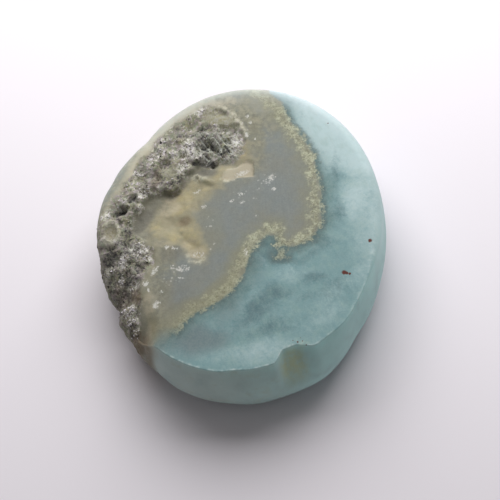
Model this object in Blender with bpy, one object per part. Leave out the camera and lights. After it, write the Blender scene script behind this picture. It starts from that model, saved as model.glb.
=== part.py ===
# Larimar cabochon: one oval stone, ground flat on top and rounded underneath, with a crust
# of its dark host rock left along one side.
# Blender works in metres. The sizes in this file are in millimetres and turned to metres
# when the mesh is made. The stone stands on the floor, with the middle of its box over the
# origin, X across, Y along its length and Z up. Places on the stone are measured from the
# middle of its outline, and directions in degrees from X towards Y.
import math

import bmesh
import bpy
from mathutils import Vector, noise

MM = 0.001

# Driving dimensions
THICKNESS = 9.2
GIRDLE_HEIGHT = 4.6  # where the wall stands out furthest
MEAN_RADIUS = 17.28
OUTLINE_CENTRE = (0.33, 0.01)  # puts the middle of the stone's box over the origin
REST_INSET = 7.5  # from the girdle in to the flat that the stone rests on
UNDER_FULLNESS = 0.47  # the smaller it is, the fuller the underside

# Oval outline, as waves on the mean radius: lobes, height and direction
LOBES = ((2, 1.56, 85.6), (3, 0.24, 55.6), (4, 0.24, -2.7), (5, 0.14, 26.5), (6, 0.08, -3.3))
# Local swells and dents of the outline: direction, height and half width in degrees
SWELLS = (
    (132, -0.15, 4.0),
    (151, 0.5, 16.0),
    (209, -0.6, 3.5),
    (217, 0.25, 4.0),
    (238, -0.2, 6.0),
    (273, 0.15, 6.0),
    (298, 0.2, 7.0),
    (317, -0.25, 7.0),
)

# How far the barrelled wall leans in at the ground face, with more at the front right
TOP_LEAN = 0.45
FRONT_LEAN = 0.3
FRONT_LEAN_DIRECTION = 300
FRONT_LEAN_WIDTH = 28.0

# Radius of the top edge: sharp at the front, rounded at the back, most of all where the
# polish runs on beside the crust
SHARP_EDGE = 0.15
ROUND_EDGE = 1.1
ROUND_BETWEEN = (-0.4, 0.35)  # the sine of the direction where it turns from sharp to round
POLISHED_EDGE = 0.6
POLISHED_DIRECTION = 150
POLISHED_WIDTH = 22.0

# Notch broken out of the front edge: where it starts, is full, and has run out again
NOTCH_ANGLES = (281, 287, 291, 306)
NOTCH_DEPTH = 1.35
NOTCH_HEIGHT = 5.5  # how far down the wall it reaches

# Lines that bound the rough side: the edge of the polished band, and points off the stone
POLISHED_BAND = (
    (-15.5, 2.4), (-13.3, 5.8), (-10.8, 10.2), (-8.8, 12.8), (-6.5, 14.7), (-4.6, 16.0),
)
OFF_THE_STONE = ((-12.0, -17.0), (-19.0, -8.0), (-19.0, 1.0))

# Hollow worn around and below the crust
HOLLOW = (
    (-2.6, 16.6), (-0.8, 15.4), (0.7, 13.8), (1.4, 11.8), (1.5, 7.6), (1.2, 6.2), (-1.9, 6.0),
    (-2.2, 4.6), (-4.4, 1.2), (-4.9, -0.6), (-4.0, -2.4), (-3.5, -4.2), (-5.0, -5.0),
    (-7.6, -2.2), (-9.0, -2.6), (-8.8, -5.0), (-9.8, -7.0), (-9.4, -10.0), (-9.8, -13.6),
) + OFF_THE_STONE + POLISHED_BAND
HOLLOW_DEPTH = 1.7
HOLLOW_SLOPE = 5.0  # width of its sloping side

# Crust that stands in the hollow
CRUST = (
    (-2.6, 16.0), (-1.2, 15.0), (0.1, 13.6), (0.6, 11.9), (0.2, 9.6), (-1.2, 8.6), (-3.2, 7.9),
    (-5.3, 8.7), (-6.6, 7.6), (-7.6, 6.4), (-9.0, 4.8), (-10.2, 3.2), (-11.2, 1.4),
    (-11.8, -0.6), (-10.4, -1.6), (-9.6, -2.8), (-9.8, -4.6), (-10.8, -6.4), (-11.2, -8.6),
    (-11.2, -11.0),
) + OFF_THE_STONE + POLISHED_BAND
CRUST_STEP = 0.8  # width of the steep side between crust and hollow
CRUST_DROP = 0.3  # how far the crust lies under the ground face
CRUST_WALL_ANGLES = (172, 190, 224, 238)  # where the crust runs down the wall
WALL_ROUGHNESS = 0.5  # share of its lumps that stands out of the wall
WALL_SINK = 0.07  # how far the rough wall lies back from the smooth one

# Both lines wander by this much, in bends of this size
WANDER = 0.5
WANDER_SIZE = 1.6

# Lumps of the crust: size across and height
LUMPS = ((2.6, 0.55), (1.1, 0.45))
# Pits scattered over the crust: size of the cell that holds one, its depth, and the
# distances from its middle where it is full and where it ends, in cells
PIT_CELL = 1.5
PIT_DEPTH = 0.55
PIT_REACH = (0.1, 0.42)
# Cracks in the crust: path, depth and half width
CRACKS = (
    (((-13.8, 2.1), (-12.6, 3.0), (-11.6, 4.6)), 0.9, 0.5),
    (((-5.2, 9.4), (-3.4, 8.4), (-2.0, 8.6)), 0.5, 0.45),
    (((-4.4, 11.6), (-3.0, 10.4), (-1.9, 10.2)), 0.6, 0.5),
    (((-8.6, 8.6), (-9.6, 7.2)), 0.5, 0.5),
    (((-12.2, 0.9), (-12.4, -1.6), (-11.6, -2.2)), 0.7, 0.5),
    (((-13.2, -6.4), (-12.2, -8.6)), 0.6, 0.5),
    (((-12.6, -11.8), (-12.0, -13.2)), 0.6, 0.5),
)
# Pale ridges: path, height and half width
RIDGES = (
    (((-5.4, 7.3), (-4.6, 6.7), (-3.2, 5.9)), 0.35, 0.3),
    (((-2.2, 15.6), (-0.6, 14.0), (0.5, 12.4), (0.6, 11.6)), 0.25, 0.35),
)
# Round knob on the left rim
KNOB = (-14.2, -0.2)
KNOB_RADIUS = 1.35
KNOB_HEIGHT = 0.45

# Mesh
GRID = 60  # squares along each side of the grid that becomes the upper surface
LEFT_DENSITY = 0.25  # crowds the grid towards the crust
ROLL_STEPS = 2
WALL_STEPS = 3
UNDER_STEPS = 6
CREASE = math.radians(40)


def smooth(low, high, value):
    """Rises from zero at low to one at high, level at both ends."""
    share = min(max((value - low) / (high - low), 0.0), 1.0)
    return share * share * (3.0 - 2.0 * share)


def bell(distance, width):
    """One at no distance, falling away over the width."""
    return math.exp(-((distance / width) ** 2))


def turn_from(direction, angle):
    """The turn from a direction to an angle, between half a turn back and forth."""
    return (angle - direction + 180.0) % 360.0 - 180.0


def window(angle, limits):
    """One between the two middle angles, falling to zero at the outer ones."""
    start, full, still, end = limits
    return smooth(start, full, angle) * (1.0 - smooth(still, end, angle))


def to_segment(point, start, end):
    """Distance from a point to the straight line between two others."""
    along = end - start
    share = min(max((point - start).dot(along) / along.length_squared, 0.0), 1.0)
    return (point - start - along * share).length


def to_path(point, path):
    corners = [Vector(corner) for corner in path]
    return min(to_segment(point, a, b) for a, b in zip(corners, corners[1:]))


def inside(point, outline):
    """Distance to a closed outline, positive inside it."""
    distance = to_path(point, outline + outline[:1])
    crossings = 0
    for (ax, ay), (bx, by) in zip(outline, outline[1:] + outline[:1]):
        if (ay > point.y) != (by > point.y):
            crossings += point.x < ax + (bx - ax) * (point.y - ay) / (by - ay)
    return distance if crossings % 2 else -distance


def outline_radius(angle):
    """Radius of the girdle in one direction."""
    radius = MEAN_RADIUS
    for lobes, height, direction in LOBES:
        radius += height * math.cos(lobes * math.radians(angle - direction))
    for direction, height, width in SWELLS:
        radius += height * bell(turn_from(direction, angle), width)
    return radius


def edge_roll(angle):
    """Radius of the edge between the ground face and the wall."""
    rounded = smooth(*ROUND_BETWEEN, math.sin(math.radians(angle)))
    polished = bell(turn_from(POLISHED_DIRECTION, angle), POLISHED_WIDTH)
    return SHARP_EDGE + (ROUND_EDGE - SHARP_EDGE) * rounded + POLISHED_EDGE * polished


def wall_inset(angle, height):
    """How far the wall lies inside the girdle at a height above it."""
    share = (height - GIRDLE_HEIGHT) / (THICKNESS - GIRDLE_HEIGHT)
    lean = TOP_LEAN + FRONT_LEAN * bell(turn_from(FRONT_LEAN_DIRECTION, angle), FRONT_LEAN_WIDTH)
    notch = NOTCH_DEPTH * window(angle, NOTCH_ANGLES)
    notch *= smooth(THICKNESS - NOTCH_HEIGHT, THICKNESS, height)
    return lean * share**2 + notch


def lumps(place):
    return sum(height * noise.noise(place / size) for size, height in LUMPS)


def pits(place):
    """Depth of the scattered pits, one near the middle of each cell."""
    nearest = noise.voronoi(place / PIT_CELL)[0][0]
    return PIT_DEPTH * (1.0 - smooth(*PIT_REACH, nearest))


def wander(place):
    """A small shift of a place, so that the lines of the crust look broken and not drawn."""
    place = place / WANDER_SIZE
    return WANDER * Vector((noise.noise(place + Vector((0, 0, 3))), noise.noise(place + Vector((0, 0, 9)))))


def top_height(x, y):
    """Height of the upper surface: the ground face, the hollow and the crust in it."""
    place = Vector((x, y, 0.0))
    point = place.xy + wander(place)
    hollow_depth = HOLLOW_DEPTH * smooth(0.0, HOLLOW_SLOPE, inside(point, HOLLOW))

    crust_depth = CRUST_DROP - lumps(place) + pits(place)
    for path, depth, width in CRACKS:
        crust_depth += depth * bell(to_path(point, path), width)
    from_knob = (place.xy - Vector(KNOB)).length / KNOB_RADIUS
    crust_depth -= KNOB_HEIGHT * math.sqrt(max(0.0, 1.0 - from_knob**2))

    crust = smooth(-0.5 * CRUST_STEP, 0.5 * CRUST_STEP, inside(point, CRUST))
    depth = hollow_depth + (crust_depth - hollow_depth) * crust
    for path, height, width in RIDGES:
        depth -= height * bell(to_path(point, path), width)
    return THICKNESS - max(depth, 0.0)


def face_point(u, v):
    """Turns a place on the square grid into a direction and a point of the upper surface."""
    u -= LEFT_DENSITY * (1.0 - u * u)
    across = u * math.sqrt(1.0 - 0.5 * v * v)
    along = v * math.sqrt(1.0 - 0.5 * u * u)
    angle = math.degrees(math.atan2(along, across)) % 360.0
    roll = edge_roll(angle)
    reach = outline_radius(angle) - wall_inset(angle, THICKNESS - roll) - roll
    x = across * reach
    y = along * reach
    return angle, Vector((OUTLINE_CENTRE[0] + x, OUTLINE_CENTRE[1] + y, top_height(x, y)))


def wall_profile(angle):
    """The side of the stone in one direction, as insets and heights from the face down."""
    roll = edge_roll(angle)
    roll_foot = THICKNESS - roll
    profile = []
    for step in range(1, ROLL_STEPS + 1):
        turn = 0.5 * math.pi * (1.0 - step / ROLL_STEPS)
        inset = wall_inset(angle, roll_foot) + roll * (1.0 - math.cos(turn))
        profile.append((inset, roll_foot + roll * math.sin(turn)))
    for step in range(1, WALL_STEPS + 1):
        height = roll_foot + (GIRDLE_HEIGHT - roll_foot) * step / WALL_STEPS
        profile.append((wall_inset(angle, height), height))
    for step in range(1, UNDER_STEPS + 1):
        turn = 0.5 * math.pi * step / UNDER_STEPS
        inset = REST_INSET * (1.0 - math.cos(turn) ** UNDER_FULLNESS)
        profile.append((inset, GIRDLE_HEIGHT * (1.0 - math.sin(turn))))
    return profile


def wall_points(angle, top):
    """The side of the stone in one direction, starting under a point of the rim at height top."""
    across = math.cos(math.radians(angle))
    along = math.sin(math.radians(angle))
    points = []
    for inset, height in wall_profile(angle):
        above = max(height - GIRDLE_HEIGHT, 0.0) / (THICKNESS - GIRDLE_HEIGHT)
        below = min(height / GIRDLE_HEIGHT, 1.0)
        height -= (THICKNESS - top) * above
        radius = outline_radius(angle) - inset
        rough = WALL_ROUGHNESS * window(angle, CRUST_WALL_ANGLES) * below**2
        bulge = rough * lumps(Vector((radius * across, radius * along, height)))
        radius += bulge - WALL_SINK * window(angle, CRUST_WALL_ANGLES)
        x = OUTLINE_CENTRE[0] + radius * across
        y = OUTLINE_CENTRE[1] + radius * along
        points.append(Vector((x, y, height)))
    return points


def make_mesh(name):
    mesh = bmesh.new()
    bmesh.ops.create_grid(mesh, x_segments=GRID, y_segments=GRID, size=1.0)
    angles = {}
    for vert in mesh.verts:
        angles[vert], vert.co = face_point(vert.co.x, vert.co.y)

    # The rim of the face is drawn out, ring by ring, into the edge, the wall and the underside
    rim = [edge for edge in mesh.edges if edge.is_boundary]
    routes = {}
    for vert in {vert for edge in rim for vert in edge.verts}:
        routes[vert] = wall_points(angles[vert], vert.co.z)
    for step in range(ROLL_STEPS + WALL_STEPS + UNDER_STEPS):
        by_place = {vert.co.to_tuple(): route for vert, route in routes.items()}
        made = bmesh.ops.extrude_edge_only(mesh, edges=rim)["geom"]
        rim = [item for item in made if isinstance(item, bmesh.types.BMEdge) and item.is_boundary]
        routes = {vert: by_place[vert.co.to_tuple()] for edge in rim for vert in edge.verts}
        for vert, route in routes.items():
            vert.co = route[step]
    bmesh.ops.contextual_create(mesh, geom=rim)

    bmesh.ops.scale(mesh, vec=(MM, MM, MM), verts=mesh.verts)
    bmesh.ops.recalc_face_normals(mesh, faces=mesh.faces)
    data = bpy.data.meshes.new(name)
    mesh.to_mesh(data)
    mesh.free()
    data.shade_smooth()
    data.set_sharp_from_angle(angle=CREASE)
    return data


def make_material(name, colour, roughness):
    material = bpy.data.materials.new(name)
    material.use_nodes = True
    shader = material.node_tree.nodes["Principled BSDF"]
    shader.inputs["Base Color"].default_value = colour
    shader.inputs["Roughness"].default_value = roughness
    shader.inputs["Metallic"].default_value = 0.0
    return material


def make_stone():
    stone = bpy.data.objects.new("larimar_cabochon", make_mesh("larimar_cabochon"))
    stone.data.materials.append(make_material("larimar", (0.30, 0.42, 0.43, 1.0), 0.45))
    bpy.context.scene.collection.objects.link(stone)


for old in list(bpy.data.objects):
    bpy.data.objects.remove(old, do_unlink=True)
make_stone()
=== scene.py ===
# Larimar cabochon: the stone at full detail, its crust grains, a pale floor and soft light.
# Sizes are in millimetres and become metres when a mesh is moved. Places on the stone are
# measured from the middle of its outline, directions in degrees from X towards Y.
import math
import random

import bpy
import numpy
from mathutils import Matrix, Vector, noise


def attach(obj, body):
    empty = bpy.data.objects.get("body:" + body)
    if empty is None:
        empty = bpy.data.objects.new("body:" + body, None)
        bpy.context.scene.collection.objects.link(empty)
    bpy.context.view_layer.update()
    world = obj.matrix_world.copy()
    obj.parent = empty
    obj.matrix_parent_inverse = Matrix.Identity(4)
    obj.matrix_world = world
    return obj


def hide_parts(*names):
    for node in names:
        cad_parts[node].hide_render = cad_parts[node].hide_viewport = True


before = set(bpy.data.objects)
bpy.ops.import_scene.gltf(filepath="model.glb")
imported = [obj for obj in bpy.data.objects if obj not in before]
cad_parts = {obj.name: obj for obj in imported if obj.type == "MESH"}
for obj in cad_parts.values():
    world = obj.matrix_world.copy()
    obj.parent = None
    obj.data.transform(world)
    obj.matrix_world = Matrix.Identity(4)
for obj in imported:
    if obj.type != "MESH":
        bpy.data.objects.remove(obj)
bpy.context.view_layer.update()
mm = 0.001
print("frame loaded")


# ---------- camera, light and floor

view = {
    "target": (0.92, -0.76, 5.0),  # mm
    "azimuth": 8.4,
    "elevation": 58.0,
    "roll": 9.9,
    "distance": 210.0,
    "lens": 136.08,
    "sensor": 36.0,
}

light = {
    "height": 50.0,  # degrees above the floor, at the back
    "turn": 3.5,  # degrees to the right of straight behind
    "distance": 150.0,
    "size": (200.0, 160.0),
    "power": 0.388,
    "colour": (1.0, 0.985, 0.985),
    "skyColour": (1.0, 0.955, 0.945),
    "skyStrength": 0.18,
}

ground = {
    "size": 1600.0,
    "colour": (0.79, 0.765, 0.81),
    "roughness": 0.9,
}


def deselectAll():
    if bpy.context.object and bpy.context.object.mode != "OBJECT":
        bpy.ops.object.mode_set(mode="OBJECT")
    bpy.ops.object.select_all(action="DESELECT")


def setCamera():
    azimuth, elevation, roll = (math.radians(view[k]) for k in ("azimuth", "elevation", "roll"))
    forward = Vector((
        -math.sin(azimuth) * math.cos(elevation),
        math.cos(azimuth) * math.cos(elevation),
        -math.sin(elevation),
    ))
    level = Vector((math.cos(azimuth), math.sin(azimuth), 0.0))
    upright = level.cross(forward)
    right = level * math.cos(roll) - upright * math.sin(roll)
    up = level * math.sin(roll) + upright * math.cos(roll)
    bpy.ops.object.camera_add()
    camera = bpy.context.object
    turned = Matrix((right, up, -forward)).transposed().to_4x4()
    turned.translation = Vector(view["target"]) * mm - forward * view["distance"] * mm
    camera.matrix_world = turned
    camera.data.sensor_width = view["sensor"]
    camera.data.lens = view["lens"]
    camera.data.clip_start = 0.001
    bpy.context.scene.camera = camera


# one wide soft lamp behind the stone, as a window would be, and a dim sky
def setLight():
    height = math.radians(light["height"])
    turn = math.radians(light["turn"])
    place = Vector((math.sin(turn) * math.cos(height), math.cos(turn) * math.cos(height), math.sin(height)))
    place *= light["distance"] * mm
    aim = (Vector((0.0, 0.0, 5.0 * mm)) - place).to_track_quat("-Z", "Y")
    bpy.ops.object.light_add(type="AREA", location=place, rotation=aim.to_euler())
    lamp = bpy.context.object
    lamp.data.shape = "RECTANGLE"
    lamp.data.size, lamp.data.size_y = (side * mm for side in light["size"])
    lamp.data.energy = light["power"]
    lamp.data.color = light["colour"]
    world = bpy.data.worlds.new("softSky")
    world.use_nodes = True
    sky = world.node_tree.nodes["Background"]
    sky.inputs["Color"].default_value = (*light["skyColour"], 1.0)
    sky.inputs["Strength"].default_value = light["skyStrength"]
    bpy.context.scene.world = world
    bpy.context.scene.view_settings.view_transform = "Standard"


deselectAll()
setCamera()
setLight()
print("camera and light set")


# ---------- measuring on the stone; x, y and z are arrays of millimetres

def rise(low, high, value):
    share = numpy.clip((value - low) / (high - low), 0.0, 1.0)
    return share * share * (3.0 - 2.0 * share)


def bell(distance, width):
    return numpy.exp(-((distance / width) ** 2))


def turnFrom(direction, angle):
    return (angle - direction + 180.0) % 360.0 - 180.0


def window(angle, limits):
    start, full, still, end = limits
    return rise(start, full, angle) * (1.0 - rise(still, end, angle))


def toPath(x, y, path):
    nearest = numpy.full(x.shape, 1e6)
    for (ax, ay), (bx, by) in zip(path, path[1:]):
        dx, dy = bx - ax, by - ay
        share = numpy.clip(((x - ax) * dx + (y - ay) * dy) / (dx * dx + dy * dy), 0.0, 1.0)
        nearest = numpy.minimum(nearest, numpy.hypot(x - ax - share * dx, y - ay - share * dy))
    return nearest


# distance to a closed line, positive inside it
def insideLine(x, y, outline):
    closed = tuple(outline) + tuple(outline[:1])
    crossings = numpy.zeros(x.shape, int)
    for (ax, ay), (bx, by) in zip(closed, closed[1:]):
        if ay != by:
            spans = (ay > y) != (by > y)
            crossings += spans & (x < ax + (bx - ax) * (y - ay) / (by - ay))
    distance = toPath(x, y, closed)
    return numpy.where(crossings % 2 == 1, distance, -distance)


# soft round or oval patches: x, y, half length, half width, turn, strength
def patchesAt(x, y, patches, fade=(0.55, 1.25)):
    total = numpy.zeros(x.shape)
    for px, py, long, wide, turn, strength in patches:
        c, s = math.cos(math.radians(turn)), math.sin(math.radians(turn))
        along = ((x - px) * c + (y - py) * s) / long
        across = ((y - py) * c - (x - px) * s) / wide
        total = numpy.maximum(total, strength * (1.0 - rise(*fade, numpy.hypot(along, across))))
    return total


def noiseAt(x, y, z, size, shift=0.0):
    places = numpy.column_stack((x / size, y / size, z / size + shift)).tolist()
    return numpy.array([noise.noise(place) for place in places])


# the nearest two points of a cell pattern: how far they are, in cells, and which cell it is
def cellsAt(x, y, z, size, shift=0.0):
    places = numpy.column_stack((x / size, y / size, z / size + shift)).tolist()
    near, beyond, away, draws = [], [], [], []
    for place in places:
        distances, points = noise.voronoi(place)
        near.append(distances[0])
        beyond.append(distances[1])
        away.append((place[0] - points[0].x, place[1] - points[0].y))
        draws.append(noise.cell_vector(points[0])[:])
    return numpy.array(near), numpy.array(beyond), numpy.array(away), numpy.array(draws)


# broken chips: each cell is a small flat with its own height and slope, from -1 to 1, and
# a gap runs round it, 1 in its middle
def chipsAt(x, y, z, size, slope, gap, shift=0.0):
    near, beyond, away, draws = cellsAt(x, y, z, size, shift)
    heights = 2.0 * draws[:, 0] - 1.0 + slope * ((draws[:, 1:] - 0.5) * away).sum(axis=1)
    return heights, 1.0 - rise(0.0, gap, beyond - near)


# sharp crests and round hollows between them, from -1 to 1
def crestsAt(x, y, z, size, shift=0.0):
    return 1.0 - 3.2 * numpy.abs(noiseAt(x, y, z, size, shift))


# ---------- the stone

stone = {
    "thickness": 9.2,
    "girdleHeight": 4.6,
    "meanRadius": 17.28,
    "middle": (0.33, 0.01),
    "restInset": 7.5,
    "underFullness": 0.47,
    "lobes": ((2, 1.56, 85.6), (3, 0.24, 55.6), (4, 0.24, -2.7), (5, 0.14, 26.5), (6, 0.08, -3.3)),
    "swells": (
        (132, -0.15, 4.0), (151, 0.5, 16.0), (209, -0.6, 3.5), (217, 0.25, 4.0),
        (155, -0.16, 5.0), (238, -0.2, 6.0), (273, 0.15, 6.0), (298, 0.2, 7.0), (317, -0.25, 7.0),
    ),
    # how far in the top edge lies, by direction
    "edgeLean": (
        (0, 0.45), (236, 0.42), (247, 0.67), (263, 0.65), (268, 1.03), (296, 1.08), (301, 1.05),
        (305, 0.78), (310, 0.42), (314, 0.22), (318, 0.22), (326, 0.48), (340, 0.45),
    ),
    "sharpEdge": 0.15,
    "roundEdge": 1.1,
    "roundBetween": (-0.56, 0.0),
    "polishedEdge": (0.6, 150, 22.0),
    "notchAngles": (281, 286, 289.5, 298),
    "notchDepth": 1.2,
    "notchHeight": 5.5,
    "gridSquares": 230,
    "leftDensity": 0.25,
    "rollRings": 5,
    "wallRings": 18,
    "underRings": 12,
    "baseRings": 6,
    "ringDrop": 0.5,
    "evenPerRing": 0.2,
    "crease": 42.0,
}

polishedBand = (
    (-15.5, 2.4), (-13.3, 5.8), (-10.8, 10.2), (-8.8, 12.8), (-6.5, 14.7), (-4.6, 16.0),
)
offTheStone = ((-12.0, -17.0), (-19.0, -8.0), (-19.0, 1.0))

crust = {
    "hollow": (
        (-2.6, 16.6), (-0.8, 15.4), (0.7, 13.8), (1.4, 11.8), (1.5, 7.6), (1.2, 6.2),
        (-1.9, 6.0), (-2.2, 4.6), (-4.4, 1.2), (-4.9, -0.6), (-4.0, -2.4), (-3.5, -4.2),
        (-5.0, -5.0), (-7.6, -2.2), (-9.0, -2.6), (-8.8, -5.0), (-9.8, -7.0), (-9.4, -10.0),
        (-9.8, -13.6),
    ) + offTheStone + polishedBand,
    "hollowDepth": 1.25,
    "hollowSlope": 5.0,
    "edge": (
        (-2.6, 16.0), (-1.2, 15.0), (0.1, 13.6), (0.6, 11.9), (0.2, 9.6), (-1.2, 8.6),
        (-3.2, 7.9), (-5.3, 8.7), (-6.3, 7.4), (-6.7, 5.6), (-7.7, 5.1), (-9.2, 5.3), (-10.6, 3.9),
        (-11.9, 2.0), (-12.2, -0.2), (-10.9, -1.4), (-9.6, -2.8), (-9.8, -4.6), (-10.8, -6.4),
        (-11.0, -8.4), (-10.9, -10.2), (-11.0, -12.0), (-12.4, -14.6), (-19.0, -8.0), (-19.0, 1.0),
    ) + polishedBand,
    "step": 0.8,
    "bandEase": 1.8,
    "drop": 0.36,
    "wallAngles": (172, 190, 224, 238),
    "wallRoughness": 0.5,
    "wallSink": 0.07,
    "wander": 0.5,
    "wanderSize": 1.6,
    "lumps": ((2.6, 0.5), (1.1, 0.32)),
    "pitCell": 1.5,
    "pitDepth": 0.16,
    "pitReach": (0.1, 0.42),
    # where the rim is broken down to a slope: how deep, how wide, and the directions
    "shoulder": (2.3, 3.4, (184, 202, 229, 240)),
    # smooth lumps: x, y, half length, half width, turn, height
    "knolls": ((-2.4, 14.3, 2.3, 1.1, -22, 0.42), (-3.9, 11.6, 1.7, 1.0, -30, 0.25), (-7.8, 7.4, 1.3, 0.8, 60, 0.2)),
    "cracks": (
        (((-13.9, 2.2), (-13.0, 2.9)), 0.45, 0.32),
        (((-12.5, 3.8), (-11.8, 4.4)), 0.4, 0.3),
        (((-5.5, 8.8), (-4.1, 8.4), (-2.8, 7.8)), 0.6, 0.4),
        (((-4.4, 11.6), (-3.0, 10.4), (-1.9, 10.2)), 0.6, 0.5),
        (((-8.6, 8.6), (-9.6, 7.2)), 0.5, 0.5),
        (((-12.2, 0.9), (-12.4, -1.6), (-11.6, -2.2)), 0.7, 0.5),
        (((-13.2, -6.0), (-12.4, -8.0)), 0.5, 0.5),
    ),
    "ridges": (
        (((-5.4, 7.3), (-4.6, 6.7), (-3.2, 5.9)), 0.35, 0.3),
        (((-2.2, 15.6), (-0.6, 14.0), (0.5, 12.4), (0.6, 11.6)), 0.25, 0.35),
    ),
    # a small cup with a proud rim: place, half width and height, then its depth and rim
    "cup": (-14.45, -0.2, 0.92, 1.4),
    "cupShape": (0.32, 0.26, 0.16),
    # a flat ledge beside the crust, lower at its far edge
    "ledgeDepth": (0.1, 0.28),
    # what the full detail adds
    "crests": ((1.7, 0.14), (0.7, 0.09)),  # size and height
    "chips": ((0.55, 0.1, 2.2, 0.12), (0.3, 0.05, 2.0, 0.14)),  # size, height, slope and gap
    "knobs": (1.0, 0.3),  # size and height of the round grains in the granular patches
    "granular": ((-13.0, -5.0, 4.6, 2.9, 75, 1.0), (-12.0, -11.2, 2.8, 1.7, 85, 0.9)),
    "gapDepth": 0.04,
    "streaks": ((-2.8, 10.3, 2.5, 2.1, -38, 1.0),),  # where blades of rock run slanting
    "streakShape": (0.16, -52.0, 0.38, 2.4),  # height, direction, width and length
    "fineNoise": (0.2, 0.06),
    "floorNoise": ((1.5, 0.1), (0.5, 0.05)),
    # where the crust is roughest and most open
    "open": (
        (-3.6, 10.6, 3.4, 2.6, -35, 1.0), (-13.0, -5.0, 4.0, 2.2, 75, 0.9),
        (-8.6, 8.4, 3.4, 1.8, 50, 0.15), (-12.0, -12.0, 2.0, 1.6, 0, 0.8),
    ),
}

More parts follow.
